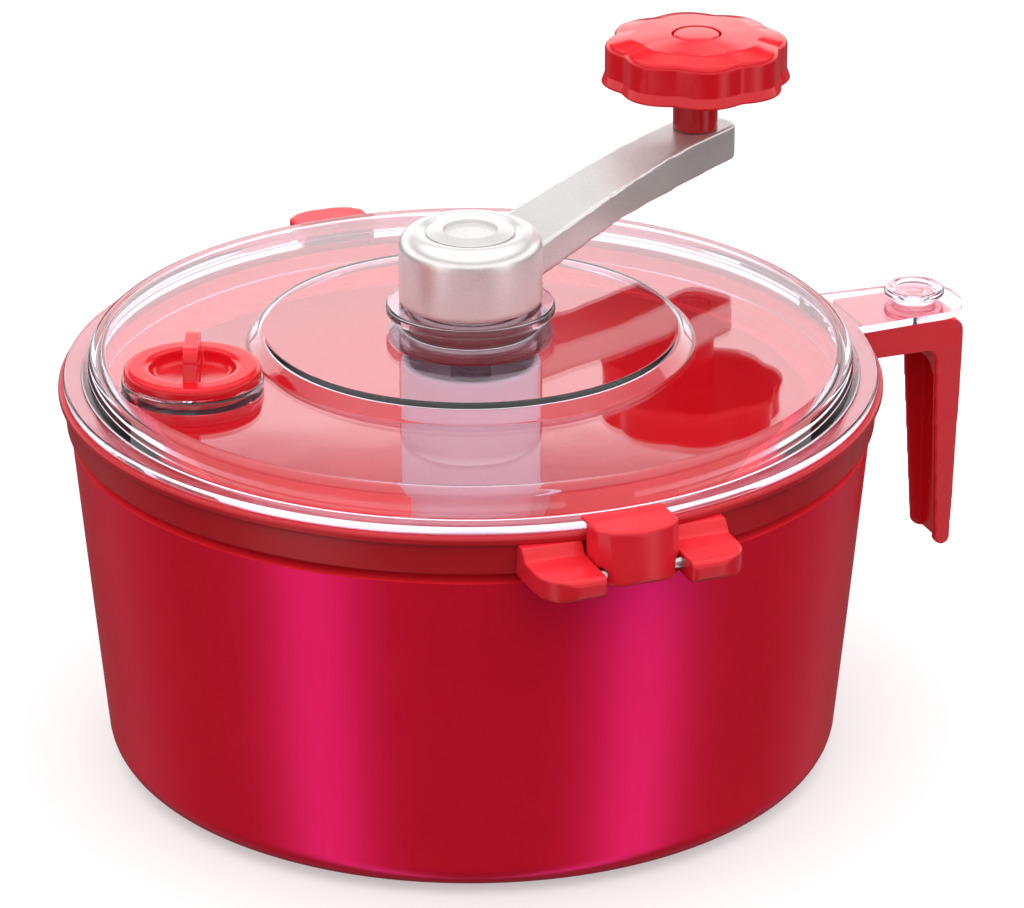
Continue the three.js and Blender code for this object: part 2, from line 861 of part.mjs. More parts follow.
const port = new THREE.Group();
port.position.set(...portCentre);
port.rotation.z = finAzimuth;
port.add(mesh("fill_cap", fillCap(), "glossRed"), mesh("fill_cap_seal", fillCapSeal(), "rubber"));
root.add(port);

const blade = new THREE.Group();
blade.rotation.z = crankAzimuth;
blade.add(
  mesh("kneading_blade", kneadingBlade(), "nylon"),
  mesh("blade_socket", bladeSocket(), "nylon"),
  mesh("foot_bush", footBush(), "nylon"),
  mesh("thrust_washer", thrustWasher(), "nylon"),
);
root.add(blade);

export default root;
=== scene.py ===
import math

import bmesh
import bpy
from mathutils import Matrix, Vector


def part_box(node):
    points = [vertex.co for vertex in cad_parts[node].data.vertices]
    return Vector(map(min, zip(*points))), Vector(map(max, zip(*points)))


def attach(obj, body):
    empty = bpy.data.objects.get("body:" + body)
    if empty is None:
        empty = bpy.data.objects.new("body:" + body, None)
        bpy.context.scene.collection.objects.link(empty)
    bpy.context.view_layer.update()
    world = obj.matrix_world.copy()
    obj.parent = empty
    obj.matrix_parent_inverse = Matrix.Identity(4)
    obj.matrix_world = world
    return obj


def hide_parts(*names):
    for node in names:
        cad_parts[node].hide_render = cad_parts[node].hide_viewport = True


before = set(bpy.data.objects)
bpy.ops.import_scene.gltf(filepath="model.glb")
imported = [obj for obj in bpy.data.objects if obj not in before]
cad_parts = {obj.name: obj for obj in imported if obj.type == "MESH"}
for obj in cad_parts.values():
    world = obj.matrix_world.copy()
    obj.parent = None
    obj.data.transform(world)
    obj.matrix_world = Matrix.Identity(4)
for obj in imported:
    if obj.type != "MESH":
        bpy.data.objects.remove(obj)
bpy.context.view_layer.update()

MM = 0.001
SLIP = 0.3
SIDES = 192


def low(node):
    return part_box(node)[0] / MM


def high(node):
    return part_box(node)[1] / MM


# Levels and radii read from the frame
RIM = high("collar").z
RIM_RADIUS = -low("collar").x
COLLAR_FOOT = low("collar").z
COLLAR_REACH = high("collar").y
BOWL_TOP = high("bowl").z
BOWL_FOOT = low("bowl").z
BOWL_SHOULDER = high("bowl").x
FLANGE_RADIUS = -low("lid").x
FLANGE_UNDER = RIM + SLIP
LID_FOOT = low("lid").z
NECK_TOP = high("lid").z
TAB_END = high("lid").x
STUD = (low("thumb_stud") + high("thumb_stud")) / 2
STUD_TOP = high("thumb_stud").z
STUD_RADIUS = (high("thumb_stud").y - low("thumb_stud").y) / 2
CAP = (low("fill_cap_seal") + high("fill_cap_seal")) / 2
HUB_FOOT = low("crank_arm").z
HUB_TOP = high("crank_arm").z
HUB_RADIUS = -low("crank_arm").x
KNOB = (low("knob_cap") + high("knob_cap")) / 2
KNOB_TOP = high("knob").z
CRANK_RADIUS = math.hypot(KNOB.x, KNOB.y)
CRANK_AZIMUTH = math.atan2(KNOB.y, KNOB.x)

# Sizes the frame's boxes don't give
BOWL_WALL = 2.5
FLOOR_RADIUS = RIM_RADIUS - 11.8
BOWL_FILLET = 9
SIDE_SWELL = 0.97  # exponent of the side's curve
FLOOR_TOP = BOWL_FOOT + 4.8
PAD_RADIUS = 86
NECK_OUTER = RIM_RADIUS - 7
LIP = 2.2
LID_WALL = 2.2
FLANGE_TOP = FLANGE_UNDER + LID_WALL
RING_TOP = FLANGE_TOP + 8
PLATEAU = RING_TOP + 4.5
DOME_FOOT = RIM_RADIUS - 7
DOME_SHOULDER = DOME_FOOT - 3.04
PORT_RING = 20.3
PORT_BORE = 16.6
PORT_TOP = RING_TOP + 3.5
CAP_RADIUS = 19.6
FIN_AZIMUTH = math.radians(69)
STEP_FOOT = 65
NECK_RADIUS = 20.4
NECK_FLANGE = NECK_RADIUS + 4.2
NECK_BORE = 18.1
CLIP_HALF = 12
CLIP_BULGE = 4.5  # how far the middle of a clip's front stands out past its corners
CLIP_HOOK = 1.5  # thickness of the hook over the lid's flange
CLIP_RAKE = 2.2  # how far a clip's front leans in at the top
PIVOT_OFFSET = 10  # clip hinge, past the rim
PIVOT_RISE = 2.8  # clip hinge, above the clip's foot
CLIP_PIN_RADIUS = 1.5
WING_WIDTH = 17.7
ARM_TOP = low("knob").z - SLIP
ARM_UNDER = ARM_TOP - 10.5
ARM_TIP = CRANK_RADIUS + 12
ARM_HALF = 8.75
KNOB_RADIUS = 29
KNOB_FOOT = KNOB_TOP - 15
KNOB_LOBES = 8
KNOB_NOTCH = 0.09
STEM_RADIUS = 6.8
COLUMN_RADIUS = 20.3

# Camera
VIEW_AZIMUTH = math.radians(-21)
VIEW_ELEVATION = math.radians(23.11)
VIEW_DISTANCE = 1.6
VIEW_WIDTH = 0.3072
AIM = (0.0120, 0.0826)  # of the view's middle, right of and above the origin
SENSOR = 36


# ---- mesh helpers ----

def filleted(corners, steps=6):
    """Corners (x, y) or (x, y, fillet) as an outline whose fillets are arcs."""
    outline = []
    for i, corner in enumerate(corners):
        here = Vector(corner[:2])
        if len(corner) == 2:
            outline.append(here)
            continue
        before = (Vector(corners[i - 1][:2]) - here).normalized()
        after = (Vector(corners[(i + 1) % len(corners)][:2]) - here).normalized()
        half = before.angle(after) / 2
        centre = here + (before + after).normalized() * corner[2] / math.sin(half)
        start = here + before * corner[2] / math.tan(half) - centre
        turn = math.copysign(math.pi - 2 * half, after.x * before.y - after.y * before.x)
        for k in range(steps + 1):
            outline.append(centre + Matrix.Rotation(turn * k / steps, 2) @ start)
    return outline


def from_bmesh(name, made):
    bmesh.ops.recalc_face_normals(made, faces=made.faces)
    data = bpy.data.meshes.new(name)
    made.to_mesh(data)
    made.free()
    data.transform(Matrix.Scale(MM, 4))
    piece = bpy.data.objects.new(name, data)
    bpy.context.scene.collection.objects.link(piece)
    return piece


def skin(made, rows):
    """Faces between rows of vertices. A row of one vertex closes a form to a point."""
    for near, far in rows:
        count = max(len(near), len(far))
        for i in range(count):
            j = (i + 1) % count
            ring = [near[i % len(near)], near[j % len(near)], far[j % len(far)], far[i % len(far)]]
            corners = list(dict.fromkeys(ring))
            if len(corners) > 2:
                made.faces.new(corners)


def lathe(name, profile, sides=SIDES, shape=None):
    """The profile (radius, z) turned round Z. It is closed, or starts and ends on the axis.
    shape(radius, z, angle) gives the radius of a form that isn't quite round."""
    made = bmesh.new()
    rows = []
    for radius, z in profile:
        if radius < 1e-6:
            rows.append([made.verts.new((0, 0, z))])
            continue
        row = []
        for i in range(sides):
            angle = 2 * math.pi * i / sides
            r = shape(radius, z, angle) if shape else radius
            row.append(made.verts.new((r * math.cos(angle), r * math.sin(angle), z)))
        rows.append(row)
    following = rows[1:] if len(rows[0]) == 1 else rows[1:] + rows[:1]
    skin(made, zip(rows, following))
    return from_bmesh(name, made)


def prism(name, outline, start, end, across="xy"):
    """An outline in two axes, extruded along the third."""
    made = bmesh.new()
    along = next(axis for axis in "xyz" if axis not in across)
    rows = []
    for level in (start, end):
        row = []
        for u, v in outline:
            at = {across[0]: u, across[1]: v, along: level}
            row.append(made.verts.new((at["x"], at["y"], at["z"])))
        rows.append(row)
    skin(made, [rows])
    for row in rows:
        made.faces.new(row)
    return from_bmesh(name, made)


def settle(piece):
    """Turns a piece's modifiers into plain mesh."""
    graph = bpy.context.evaluated_depsgraph_get()
    made = bpy.data.meshes.new_from_object(piece.evaluated_get(graph))
    piece.modifiers.clear()
    piece.data = made


def combine(base, operation, *tools):
    for tool in tools:
        modifier = base.modifiers.new("combine", "BOOLEAN")
        modifier.operation = operation
        modifier.solver = "EXACT"
        modifier.object = tool
        settle(base)
        bpy.data.objects.remove(tool)
    return base


def moulded(piece, voxel, rounds):
    """Rounds a piece's edges the way a mould does."""
    remesh = piece.modifiers.new("remesh", "REMESH")
    remesh.mode = "VOXEL"
    remesh.voxel_size = voxel * MM
    smooth = piece.modifiers.new("smooth", "SMOOTH")
    smooth.factor = 0.5
    smooth.iterations = rounds
    settle(piece)
    return piece


def place(piece, x=0, y=0, turn=0):
    piece.data.transform(Matrix.Translation((x * MM, y * MM, 0)) @ Matrix.Rotation(turn, 4, "Z"))
    return piece


def copied(node, name):
    piece = bpy.data.objects.new(name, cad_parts[node].data.copy())
    bpy.context.scene.collection.objects.link(piece)
    return piece


def dress(piece, material, body, slot, *nodes, crease=38):
    """Gives a finished mesh its material and body, and hides the CAD nodes that it stands for."""
    piece.data.materials.clear()
    piece.data.materials.append(material)
    piece.data.shade_smooth()
    piece.data.set_sharp_from_angle(angle=math.radians(crease))
    weighted = piece.modifiers.new("normals", "WEIGHTED_NORMAL")
    weighted.keep_sharp = True
    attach(piece, body)
    if nodes:
        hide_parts(*nodes)
    return piece


# ---- materials ----

def shader(name):
    material = bpy.data.materials.new(name)
    material.use_nodes = True
    return material, material.node_tree, material.node_tree.nodes["Principled BSDF"]


def noise(tree, scale, detail=3.0, stretch=(1, 1, 1)):
    """Noise in the object's own space; scale counts features to the metre."""
    coordinates = tree.nodes.new("ShaderNodeTexCoord")
    mapping = tree.nodes.new("ShaderNodeMapping")
    mapping.inputs["Scale"].default_value = stretch
    texture = tree.nodes.new("ShaderNodeTexNoise")
    texture.inputs["Scale"].default_value = scale
    texture.inputs["Detail"].default_value = detail
    tree.links.new(coordinates.outputs["Object"], mapping.inputs["Vector"])
    tree.links.new(mapping.outputs["Vector"], texture.inputs["Vector"])
    return texture.outputs["Fac"]


def vary_colour(tree, principled, source, dark, light):
    ramp = tree.nodes.new("ShaderNodeValToRGB")
    ramp.color_ramp.elements[0].position = 0.3
    ramp.color_ramp.elements[0].color = (*dark, 1)
    ramp.color_ramp.elements[1].position = 0.7
    ramp.color_ramp.elements[1].color = (*light, 1)
    tree.links.new(source, ramp.inputs["Fac"])
    tree.links.new(ramp.outputs["Color"], principled.inputs["Base Color"])


def vary_roughness(tree, principled, source, least, most):
    spread = tree.nodes.new("ShaderNodeMapRange")
    spread.inputs["From Min"].default_value = 0.3
    spread.inputs["From Max"].default_value = 0.7
    spread.inputs["To Min"].default_value = least
    spread.inputs["To Max"].default_value = most
    tree.links.new(source, spread.inputs["Value"])
    tree.links.new(spread.outputs["Result"], principled.inputs["Roughness"])


def bump(tree, principled, source, depth, strength=1.0):
    """Surface relief, depth in metres."""
    node = tree.nodes.new("ShaderNodeBump")
    node.inputs["Distance"].default_value = depth
    node.inputs["Strength"].default_value = strength
    tree.links.new(source, node.inputs["Height"])
    tree.links.new(node.outputs["Normal"], principled.inputs["Normal"])


def plastic(name, dark, light, roughness, grain=0.00001, ior=1.5):
    """Moulded plastic: faint colour drift, uneven gloss and a very fine surface grain."""
    material, tree, principled = shader(name)
    principled.inputs["IOR"].default_value = ior
    principled.inputs["Specular IOR Level"].default_value = 0.3
    broad = noise(tree, 40)
    vary_colour(tree, principled, broad, dark, light)
    vary_roughness(tree, principled, noise(tree, 160), *roughness)
    bump(tree, principled, noise(tree, 2600, 2), grain)
    return material


def lacquered_metal():
    """The bowl's red lacquer over metal: its reflections are magenta, with a fine metallic grain."""
    material, tree, principled = shader("bowl_lacquer")
    principled.inputs["IOR"].default_value = 3.0
    principled.inputs["Specular Tint"].default_value = (1.0, 0.01, 0.30, 1)
    vary_colour(tree, principled, noise(tree, 30), (0.72, 0.010, 0.013), (0.78, 0.012, 0.015))
    vary_roughness(tree, principled, noise(tree, 500, 4, (1, 1, 0.15)), 0.20, 0.26)
    bump(tree, principled, noise(tree, 9000, 2), 0.000002)
    return material


def lighter_inside_red():
    """The bowl's inside: the bowl's red without the metallic sheen, painted lighter than the outside as
    painted light for the inside seen through the lid.
    """
    return plastic("bowl_inside_painted_lighter", (0.93, 0.018, 0.035), (0.98, 0.022, 0.040), (0.35, 0.5))


def clear_plastic(name, tint, ior=1.56):
    """Clear moulded plastic with a lilac tinge and faint flow marks.
    Light scattered by what is under it passes straight through, so that the bowl's inside is lit."""
    material, tree, principled = shader(name)
    principled.inputs["Transmission Weight"].default_value = 1.0
    principled.inputs["IOR"].default_value = ior
    vary_colour(tree, principled, noise(tree, 25), tint, tuple(min(1, c + 0.02) for c in tint))
    vary_roughness(tree, principled, noise(tree, 120), 0.005, 0.03)
    bump(tree, principled, noise(tree, 35, 1), 0.00003)
    rays = tree.nodes.new("ShaderNodeLightPath")
    open_shader = tree.nodes.new("ShaderNodeBsdfTransparent")
    open_shader.inputs["Color"].default_value = (*tint, 1)
    mix = tree.nodes.new("ShaderNodeMixShader")
    tree.links.new(rays.outputs["Is Diffuse Ray"], mix.inputs[0])
    tree.links.new(principled.outputs[0], mix.inputs[1])
    tree.links.new(open_shader.outputs[0], mix.inputs[2])
    tree.links.new(mix.outputs[0], tree.nodes["Material Output"].inputs["Surface"])
    return material


def satin_silver():
    """Silver paint on the crank, with fine flakes."""
    material, tree, principled = shader("satin_silver")
    principled.inputs["Metallic"].default_value = 0.65
    flakes = noise(tree, 5000, 2)
    vary_colour(tree, principled, noise(tree, 60), (0.76, 0.73, 0.72), (0.82, 0.79, 0.78))
    vary_roughness(tree, principled, flakes, 0.26, 0.38)
    bump(tree, principled, flakes, 0.000006)
    return material


def machined_steel():
    material, tree, principled = shader("machined_steel")
    principled.inputs["Metallic"].default_value = 1.0
    turned = noise(tree, 900, 3, (0.2, 0.2, 6))
    vary_colour(tree, principled, turned, (0.50, 0.51, 0.53), (0.62, 0.63, 0.65))
    vary_roughness(tree, principled, turned, 0.22, 0.38)
    bump(tree, principled, turned, 0.00001)
    return material


def rubber():
    return plastic("dark_rubber", (0.018, 0.018, 0.020), (0.028, 0.028, 0.030), (0.6, 0.8), 0.00005)


# ---- bowl and collar ----

def side_radius(z):
    """Outside radius of the bowl's swelling side."""
    start = BOWL_FOOT + BOWL_FILLET
    t = min(max((z - start) / (COLLAR_FOOT - start), 0), 1)
    return FLOOR_RADIUS + (BOWL_SHOULDER - FLOOR_RADIUS) * t ** SIDE_SWELL


def bowl_shell():
    steps = 28
    start = BOWL_FOOT + BOWL_FILLET
    inner_start = FLOOR_TOP + 6
    outside, inside = [], []
    for i in range(steps):
        z = start + (COLLAR_FOOT - start) * i / steps
        outside.append((side_radius(z), z))
    for i in range(steps + 1):
        z = COLLAR_FOOT + (inner_start - COLLAR_FOOT) * i / steps
        inside.append((min(side_radius(z), NECK_OUTER) - BOWL_WALL, z))
    inner = inside[-1][0]
    foot = filleted([
        (PAD_RADIUS, BOWL_FOOT),
        (FLOOR_RADIUS, BOWL_FOOT, BOWL_FILLET),
        (FLOOR_RADIUS, COLLAR_FOOT),
    ], 12)
    inner_foot = filleted([(inner, COLLAR_FOOT), (inner, FLOOR_TOP, 6), (0, FLOOR_TOP)], 8)
    boss = FLOOR_TOP + 8
    pin_bore = 4 + SLIP
    profile = [(0, FLOOR_TOP - 2.7), (PAD_RADIUS + SLIP, FLOOR_TOP - 2.7), (PAD_RADIUS + SLIP, BOWL_FOOT)]
    profile += foot[1:-2] + outside
    profile += filleted([
        (BOWL_SHOULDER, COLLAR_FOOT - SLIP, 0.4),
        (NECK_OUTER, COLLAR_FOOT - SLIP),
        (NECK_OUTER, BOWL_TOP, 0.5),
        (NECK_OUTER - BOWL_WALL, BOWL_TOP, 0.5),
        (NECK_OUTER - BOWL_WALL, COLLAR_FOOT),
    ])[:-1]
    profile += inside + inner_foot[2:-1]
    profile += [(12, FLOOR_TOP), (9, FLOOR_TOP + 1.5), (9, boss), (pin_bore, boss)]
    profile += [(pin_bore, FLOOR_TOP + 1), (0, FLOOR_TOP + 1)]
    return lathe("bowl_shell", profile)


def paint_inside_lighter(shell, material):
    """Gives the bowl's inside its own material, a red painted lighter as painted light inside the bowl."""
    shell.data.materials.append(material)
    for face in shell.data.polygons:
        inward = face.normal.x * face.center.x + face.normal.y * face.center.y < -1e-6
        if face.center.z > (FLOOR_TOP - 0.5) * MM and (inward or face.normal.z > 0.9):
            face.material_index = 1


def collar_band():
    lip = RIM_RADIUS - 9.2
    inner = NECK_OUTER + SLIP
    return lathe("collar_band", filleted([
        (inner, COLLAR_FOOT),
        (RIM_RADIUS - 2.2, COLLAR_FOOT, 0.7),
        (RIM_RADIUS - 1.4, RIM - 2.5, 0.5),
        (RIM_RADIUS, RIM - 2.5, 0.7),
        (RIM_RADIUS, RIM, 1.0),
        (lip, RIM, 0.6),
        (lip, RIM - LIP),
        (inner, RIM - LIP),
    ]))


def wing(name, side, turn):
    near = side * (CLIP_HALF + SLIP)
    far = side * (CLIP_HALF + SLIP + WING_WIDTH)
    root = NECK_OUTER + 1.5
    top = RIM - 5.4
    plan = filleted([(near, root), (far, root), (far, COLLAR_REACH, 10), (near, COLLAR_REACH, 1.5)], 12)
    profile = filleted([
        (root, top - 6.2),
        (COLLAR_REACH, top - 6.2, 2.0),
        (COLLAR_REACH, top, 2.0),
        (RIM_RADIUS + 1.5, top),
        (RIM_RADIUS - 1, RIM - LIP),
        (root, RIM - LIP),
    ])
    start = min(near, far) - 1
    made = prism(name, plan, top - 10, RIM)
    combine(made, "INTERSECT", prism("tool", profile, start, start + WING_WIDTH + 2, "yz"))
    return place(moulded(made, 0.4, 10), turn=turn)


def clasp(name, turn):
    """A clip: a side profile and a bulged plan, with its front leaning in towards the top."""
    tip, outer = low("rear_clip").y, high("rear_clip").y
    foot, top = low("rear_clip").z, high("rear_clip").z
    under = top - CLIP_HOOK
    pivot = foot + PIVOT_RISE
    front = outer - 0.3
    profile = filleted([
        (tip, under),
        (tip, top, 0.6),
        (front, top, 1.2),
        (front, foot, 2.2),
        (RIM_RADIUS + 0.5, foot, 1),
        (RIM_RADIUS + 0.5, under),
    ], 12)
    bulge = []
    for step in range(25):
        across = 1 - step / 12
        bulge.append((CLIP_HALF * across, front - CLIP_BULGE * across * across))
    bulge[0] = (CLIP_HALF, bulge[2][1] - 3)
    bulge[-1] = (-CLIP_HALF, bulge[0][1])
    plan = [(-CLIP_HALF, tip - 1), (CLIP_HALF, tip - 1), bulge[0], *bulge[3:-3], bulge[-1]]
    made = prism(name, plan, foot - 1, top + 1)
    combine(made, "INTERSECT", prism("tool", profile, -CLIP_HALF - 1, CLIP_HALF + 1, "yz"))
    bore = [(RIM_RADIUS + PIVOT_OFFSET + y, pivot + z) for y, z in circle(CLIP_PIN_RADIUS + SLIP, 24)]
    combine(made, "DIFFERENCE", prism("bore", bore, -CLIP_HALF - 1, CLIP_HALF + 1, "yz"))
    moulded(made, 0.35, 12)
    for vertex in made.data.vertices:
        forward = max(vertex.co.y / MM - RIM_RADIUS - 3, 0) / (outer - RIM_RADIUS - 3)
        vertex.co.y -= CLIP_RAKE * MM * forward * (vertex.co.z / MM - foot) / (top - foot)
    return place(made, turn=turn)


def tongue():
    near, far = NECK_OUTER + 1, RIM_RADIUS + 16
    made = prism("collar_tongue", [(near, -9), (far, -9), (far, 9), (near, 9)], RIM - 7, RIM - 2)
    return moulded(made, 0.4, 3)


# ---- lid ----

def lid_dome():
    plateau_under = PLATEAU - LID_WALL
    ring_under = RING_TOP - LID_WALL
    skirt = NECK_OUTER - BOWL_WALL - 0.5
    dome = lathe("lid_dome", filleted([
        (skirt - LID_WALL, LID_FOOT, 0.6),
        (skirt, LID_FOOT, 0.6),
        (skirt, FLANGE_UNDER),
        (FLANGE_RADIUS, FLANGE_UNDER, 0.6),
        (FLANGE_RADIUS, FLANGE_TOP, 0.8),
        (DOME_FOOT, FLANGE_TOP, 0.8),
        (DOME_SHOULDER, RING_TOP, 3.8),
        (STEP_FOOT, RING_TOP, 1.2),
        (STEP_FOOT - 4, PLATEAU, 3),
        (NECK_RADIUS, PLATEAU, 0.8),
        (NECK_RADIUS, NECK_TOP - 3, 0.5),
        (NECK_FLANGE, NECK_TOP - 3, 0.7),
        (NECK_FLANGE, NECK_TOP, 0.9),
        (NECK_BORE, NECK_TOP),
        (NECK_BORE, plateau_under),
        (STEP_FOOT - 4.7, plateau_under, 1),
        (STEP_FOOT - 0.7, ring_under, 1),
        (DOME_SHOULDER - LID_WALL, ring_under, 1.8),
        (skirt - LID_WALL, FLANGE_TOP - 1),
    ]))
    half = 14.5
    tab = prism("tab", filleted([
        (DOME_FOOT - 1, -half),
        (RIM_RADIUS, -half),
        (TAB_END, 2 - half, 11),
        (TAB_END, half - 2, 11),
        (RIM_RADIUS, half),
        (DOME_FOOT - 1, half),
    ], 12), FLANGE_UNDER, FLANGE_TOP)
    port = lathe("port", filleted([
        (0, ring_under + 0.1),
        (PORT_RING, ring_under + 0.1),
        (PORT_RING, PORT_TOP, 0.8),
        (0, PORT_TOP),
    ]), 96)
    hole = prism("hole", circle(PORT_BORE, 96), ring_under - 4, PORT_TOP + 1)
    stud_hole = prism("hole", circle(3 + SLIP, 32), RIM - 4, FLANGE_TOP + 4)
    combine(dome, "UNION", tab, place(port, CAP.x, CAP.y))
    return combine(dome, "DIFFERENCE", place(hole, CAP.x, CAP.y), place(stud_hole, STUD.x))


def circle(radius, sides):
    return [(radius * math.cos(2 * math.pi * i / sides), radius * math.sin(2 * math.pi * i / sides))
            for i in range(sides)]


def thumb_stud():
    height = STUD_TOP - FLANGE_TOP
    neck = FLANGE_TOP + height * 0.42
    made = lathe("thumb_button", filleted([
        (0, FLANGE_UNDER + SLIP),
        (3, FLANGE_UNDER + SLIP),
        (3, FLANGE_TOP + SLIP),
        (6.6, FLANGE_TOP + SLIP, 0.3),
        (6.6, neck, 0.4),
        (STUD_RADIUS, neck + 0.5, 0.4),
        (STUD_RADIUS, STUD_TOP, 1.2),
        (STUD_RADIUS - 2.6, STUD_TOP - 0.2),
        (STUD_RADIUS - 3.4, STUD_TOP - 0.7),
        (0, STUD_TOP - 0.7),
    ]), 96)
    return place(made, STUD.x)


def lid_bush():
    outer = NECK_BORE - SLIP
    foot = low("lid_bush").z
    return lathe("neck_bush", filleted([
        (6.3, foot),
        (outer + 6, foot, 0.5),
        (outer + 6, foot + 3, 0.5),
        (outer, foot + 3),
        (outer, NECK_TOP + SLIP, 0.6),
        (6.3, NECK_TOP + SLIP),
    ]), 96)


# ---- crank and knob ----

def crank_lever():
    hub = lathe("crank_lever", filleted([
        (0, HUB_FOOT),
        (HUB_RADIUS, HUB_FOOT, 0.5),
        (HUB_RADIUS, HUB_TOP, 5),
        (14.4, HUB_TOP, 0.2),
        (13.9, HUB_TOP - 0.8, 0.2),
        (0, HUB_TOP - 0.8),
    ], 10))
    root = 8
    run = CRANK_RADIUS * 0.9 - root
    steps = 24
    top, half = [], []
    for i in range(steps + 1):
        t = i / steps
        x = root + run * t
        top.append((x, ARM_TOP - 8.5 * (1 - math.sin(math.pi / 2 * t ** 1.33))))
        half.append((x, ARM_HALF + 3.25 * (1 - t) ** 1.3))
    under = [(ARM_TIP, ARM_UNDER), (CRANK_RADIUS * 0.55, ARM_UNDER - 2), (root, HUB_FOOT + 2)]
    side = [*top, (ARM_TIP, ARM_TOP), *under]
    tip = filleted([
        (root, -ARM_HALF),
        (root, ARM_HALF),
        (ARM_TIP, ARM_HALF, 5),
        (ARM_TIP, -ARM_HALF, 5),
    ], 10)[2:]
    plan = [*half, *tip, *((x, -y) for x, y in reversed(half))]
    arm = prism("arm", side, -20, 20, "xz")
    combine(arm, "INTERSECT", prism("plan", plan, HUB_FOOT, ARM_TOP + 1))
    combine(hub, "UNION", arm)
    pocket = prism("pocket", circle(5.8, 64), ARM_UNDER - 4, ARM_UNDER + 4.3)
    combine(hub, "DIFFERENCE", place(pocket, CRANK_RADIUS))
    return place(moulded(hub, 0.5, 10), turn=CRANK_AZIMUTH)


def hub_cap():
    top = high("hub_cap").z
    radius = high("hub_cap").x
    return lathe("hub_button", filleted([
        (0, low("hub_cap").z),
        (8, low("hub_cap").z),
        (8, HUB_TOP + SLIP),
        (radius, HUB_TOP + SLIP - 0.6, 0.2),
        (radius, top - 0.2, 1.0),
        (0, top),
    ], 8), 128)


def knob_grip():
    rise = 2.4
    profile = filleted([
        (0, ARM_TOP + SLIP),
        (STEM_RADIUS, ARM_TOP + SLIP),
        (STEM_RADIUS, KNOB_FOOT + 1.5, 1.2),
        (KNOB_RADIUS - 3, KNOB_FOOT + 1.2, 0.8),
        (KNOB_RADIUS - 2, KNOB_FOOT, 0.3),
        (KNOB_RADIUS, KNOB_FOOT, 0.6),
        (KNOB_RADIUS - 1.2, KNOB_FOOT + 3.4, 1.5),
        (KNOB_RADIUS - 1.2, KNOB_TOP - rise, 2.2),
        (KNOB_RADIUS - 9, KNOB_TOP - 0.8, 10),
        (7.6, KNOB_TOP - 0.2),
        (7.3, KNOB_TOP - 0.9),
        (7.3, KNOB_TOP - 3.5),
        (0, KNOB_TOP - 3.5),
    ], 8)

    def lobed(radius, z, angle):
        reach = min(max((radius - 9) / (KNOB_RADIUS - 14), 0), 1)
        share = reach * reach * (3 - 2 * reach)
        wave = 1.015 - math.hypot(math.cos(KNOB_LOBES * angle / 2), 0.173)
        return radius * (1 - KNOB_NOTCH * share * max(wave, 0))

    return place(lathe("knob_grip", profile, KNOB_LOBES * 32, lobed), KNOB.x, KNOB.y, CRANK_AZIMUTH)


def knob_cap():
    foot = low("knob_cap").z
    profile = filleted([(0, foot), (7, foot), (7, KNOB_TOP - 0.3, 0.8), (0, KNOB_TOP)])
    return place(lathe("knob_button", profile, 96), KNOB.x, KNOB.y)


# ---- fill cap ----

def fill_cap():
    foot = PORT_TOP + SLIP
    rim = foot + 3.3
    plug = PORT_BORE - 1
    plug_foot = RING_TOP - 3.5
    groove = (low("fill_cap_seal").z - SLIP, high("fill_cap_seal").z + SLIP)
    disc = lathe("fill_stopper", filleted([
        (0, rim - 6.2),
        (plug - 2.6, rim - 6.2),
        (plug - 2.6, plug_foot),
        (plug, plug_foot, 0.6),
        (plug, groove[0]),
        (plug - 1.4, groove[0]),
        (plug - 1.4, groove[1]),
        (plug, groove[1]),
        (plug, foot),
        (CAP_RADIUS, foot, 0.5),
        (CAP_RADIUS, rim, 1.6),
        (12.6, rim, 1.6),
        (11.2, rim - 3.4, 3),
        (0, rim - 4),
    ]), 128)
    fin = prism("fin", filleted([
        (-12, rim - 4.5),
        (12, rim - 4.5),
        (12, rim - 0.5),
        (10, rim + 7.4, 5),
        (-10, rim + 7.4, 5),
        (-12, rim - 0.5),
    ], 10), -2.1, 2.1, "xz")
    combine(disc, "UNION", fin)
    return place(moulded(disc, 0.3, 8), CAP.x, CAP.y, FIN_AZIMUTH)


# ---- kneading blade ----

def blade_outline(turn):
    root = COLUMN_RADIUS - 1.5
    tip = FLOOR_RADIUS - BOWL_WALL - 5
    steps = 16
    near, far = [], []
    for i in range(steps + 1):
        t = i / steps
        radius = root + (tip - root) * t
        angle = turn + 0.75 * t * t
        half = 3 * (1 - 0.35 * t)
        along = Vector((math.cos(angle), math.sin(angle)))
        across = Vector((-along.y, along.x))
        near.append(along * radius - across * half)
        far.append(along * radius + across * half)
    return near + far[::-1]


def kneader():
    bore = COLUMN_RADIUS - 2.5
    foot, top = low("kneading_blade").z, high("kneading_blade").z
    column = prism("kneader", circle(COLUMN_RADIUS, 96), FLOOR_TOP + 6, top)
    for turn in (0, math.pi):
        combine(column, "UNION", prism("blade", blade_outline(turn), foot, foot + 30.5))
    combine(column, "DIFFERENCE", prism("bore", circle(bore, 96), foot - 1, top + 1))
    return place(moulded(column, 0.8, 5), turn=CRANK_AZIMUTH)


# ---- assembly ----

